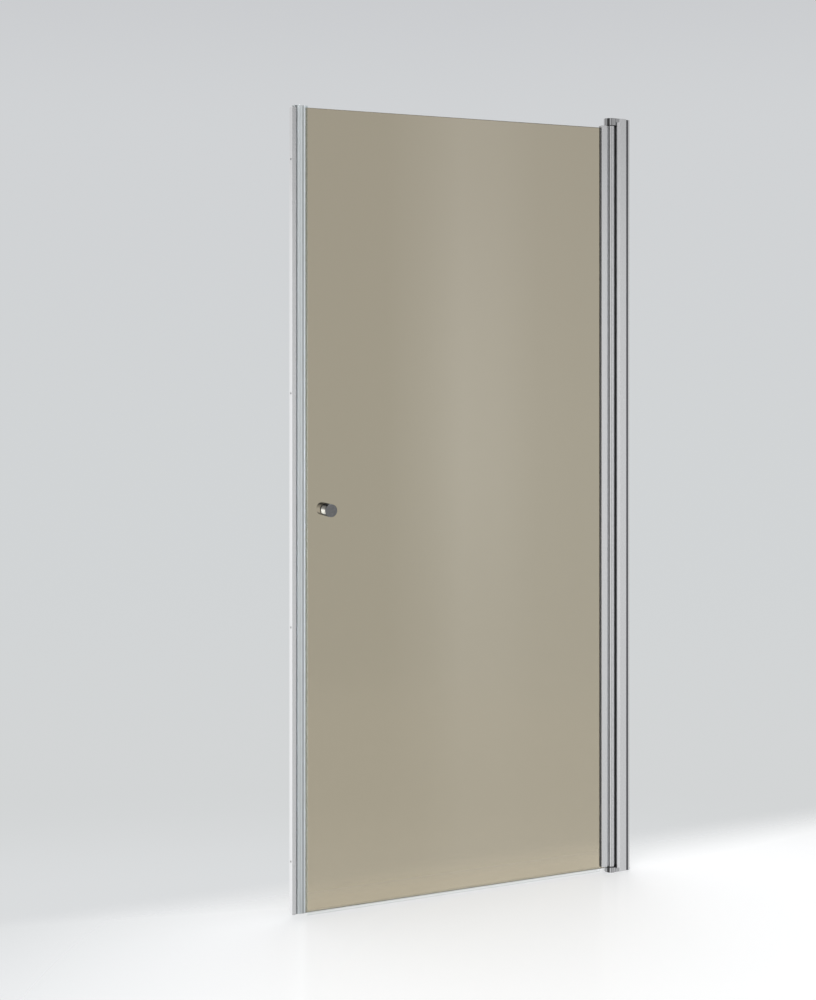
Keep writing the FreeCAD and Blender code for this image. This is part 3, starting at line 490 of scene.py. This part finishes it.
# Degrees round the object from +X towards +Y, and how bright the studio's walls are there as
# polished metal shows them, with dark flags among them
WALLS = (
    (-180.0, 0.3),
    (-175.0, 0.14),
    (-132.0, 0.07),
    (-126.0, 1.0),
    (-111.0, 1.0),
    (-106.0, 0.32),
    (-88.0, 0.6),
    (-78.0, 0.46),
    (-75.5, 1.05),
    (-71.4, 1.05),
    (-70.8, 0.22),
    (-67.0, 0.22),
    (-64.0, 0.68),
    (-53.0, 0.68),
    (-49.0, 0.3),
    (-43.0, 0.3),
    (-39.0, 1.0),
    (-26.0, 1.0),
    (-21.0, 0.25),
    (-12.0, 0.25),
    (-6.0, 0.6),
    (14.0, 0.6),
    (22.0, 0.3),
    (50.0, 0.6),
    (82.0, 0.25),
    (92.0, 0.35),
    (99.0, 1.0),
    (128.0, 1.0),
    (146.0, 0.3),
    (160.0, 0.75),
    (172.0, 0.75),
    (180.0, 0.3),
)
# Degrees above the horizon, and the share of that brightness left there
WALLS_UPWARDS = (
    (-90.0, 0.95),
    (-20.0, 1.0),
    (-5.0, 1.0),
    (3.0, 0.93),
    (9.0, 0.71),
    (22.0, 0.35),
    (45.0, 0.25),
    (65.0, 0.9),
    (90.0, 1.0),
)
# The tall softbox that the middle of the pane mirrors
SOFTBOX = ((-180.0, 0.0), (-68.0, 0.0), (-64.5, 0.85), (-61.0, 0.0), (180.0, 0.0))
SOFTBOX_UPWARDS = (
    (-90.0, 0.0),
    (-18.0, 0.15),
    (-11.0, 0.5),
    (-3.0, 0.95),
    (2.0, 1.0),
    (9.0, 0.8),
    (16.0, 0.3),
    (90.0, 0.0),
)
# The studio as metal mirrors it through the pane: how many times as bright as without the glass
# between them, round the object and above the horizon, and its colour
BEHIND_THE_PANE = (
    (-180.0, 1.0),
    (90.0, 1.0),
    (97.0, 3.0),
    (118.0, 3.0),
    (128.0, 1.0),
    (180.0, 1.0),
)
BEHIND_THE_PANE_UPWARDS = (
    (-90.0, 0.3),
    (-24.0, 0.6),
    (-9.0, 1.0),
    (-3.0, 1.0),
    (6.0, 0.35),
    (90.0, 0.3),
)
BEHIND_THE_PANE_COLOUR = (0.94, 1.03, 1.22)
WHITE = (1.0, 1.0, 1.0)
SOFT_LIGHT = 0.78  # the even light that falls on everything


def studio_world():
    """The backdrop as the camera sees it, the studio as metal shows it, and the even light."""
    world = bpy.data.worlds.new("studio")
    bpy.context.scene.world = world
    tree = Tree(world)
    x, y, z = tree.split(tree.coordinates("Generated"))
    upwards = tree.math("DEGREES", tree.math("ARCSINE", z))
    around = tree.math("DEGREES", tree.math("ARCTAN2", y, x))

    def curve(value, reach, stops):
        """The level at a value, along -reach..reach degrees."""
        return tree.ramp(value, -reach, reach, [(place, grey(level)) for place, level in stops])

    walls = tree.math("MULTIPLY", curve(around, 180.0, WALLS), curve(upwards, 90.0, WALLS_UPWARDS))
    softbox = tree.math(
        "MULTIPLY", curve(around, 180.0, SOFTBOX), curve(upwards, 90.0, SOFTBOX_UPWARDS)
    )
    mirrored = tree.math("ADD", walls, softbox)
    path = tree.node("ShaderNodeLightPath").outputs
    # A ray that crosses the pane after a piece mirrored it has a glossy depth of 1 or more
    mirrored_through_glass = tree.math(
        "MULTIPLY", path["Is Transmission Ray"], tree.math("GREATER_THAN", path["Glossy Depth"], 0.5)
    )
    seen = tree.math("ADD", path["Is Camera Ray"], path["Is Transmission Ray"], clamp=True)
    seen = tree.math("SUBTRACT", seen, mirrored_through_glass, clamp=True)

    def background(colour, strength):
        made = tree.node("ShaderNodeBackground")
        tree.plug(made.inputs["Color"], colour)
        tree.plug(made.inputs["Strength"], strength)
        return made.outputs[0]

    even = background(rgba(WHITE), SOFT_LIGHT)
    polished = background(rgba(WHITE), mirrored)
    behind = tree.math("MULTIPLY", mirrored, curve(around, 180.0, BEHIND_THE_PANE))
    behind = tree.math("MULTIPLY", behind, curve(upwards, 90.0, BEHIND_THE_PANE_UPWARDS))
    through = background(rgba(BEHIND_THE_PANE_COLOUR), behind)
    plain = background(tree.ramp(upwards, -90.0, 90.0, BACKDROP), 1.0)
    mixed = tree.mix_shader(path["Is Glossy Ray"], even, polished)
    mixed = tree.mix_shader(mirrored_through_glass, mixed, through)
    mixed = tree.mix_shader(seen, mixed, plain)
    tree.plug(tree.node("ShaderNodeOutputWorld").inputs["Surface"], mixed)


# Name, place and power in watts of each lamp
LAMPS = (
    ("key_softbox", (-2.6, -3.4, 3.6), 42.0),
    ("top_softbox", (1.6, 2.2, 3.8), 22.0),
)
LAMP_SIDE = 2.4
LAMP_AIM = Vector((0.0, 0.0, 0.9))


def add_lamp(name, place, watts):
    """A square lamp that gives light, and isn't itself seen, mirrored or shown by the glass."""
    data = bpy.data.lights.new(name, "AREA")
    data.shape = "RECTANGLE"
    data.size = LAMP_SIDE
    data.size_y = LAMP_SIDE
    data.energy = watts
    lamp = bpy.data.objects.new(name, data)
    lamp.location = place
    lamp.rotation_mode = "QUATERNION"
    lamp.rotation_quaternion = (LAMP_AIM - Vector(place)).to_track_quat("-Z", "Y")
    lamp.visible_camera = False
    lamp.visible_glossy = False
    lamp.visible_transmission = False
    bpy.context.scene.collection.objects.link(lamp)


def add_lamps():
    """A large key light from the front left, and a weaker one from above, behind on the right."""
    for name, place, watts in LAMPS:
        add_lamp(name, place, watts)


def add_camera():
    """The photograph's view. The horizon's place in the frame is the lens's vertical shift."""
    data = bpy.data.cameras.new("photo_camera")
    longest = max(IMAGE_WIDTH, IMAGE_HEIGHT)
    data.sensor_width = SENSOR
    data.lens = SENSOR * FOCAL_PIXELS / longest
    data.shift_y = (HORIZON_ROW - IMAGE_HEIGHT / 2) / longest
    data.clip_start = 0.05
    camera = bpy.data.objects.new("photo_camera", data)
    camera.location = CAMERA_PLACE
    camera.rotation_euler = (math.pi / 2, 0.0, CAMERA_HEADING)
    bpy.context.scene.collection.objects.link(camera)
    bpy.context.scene.camera = camera


add_floor()
studio_world()
add_lamps()
add_camera()
bpy.context.scene.view_settings.view_transform = "Standard"
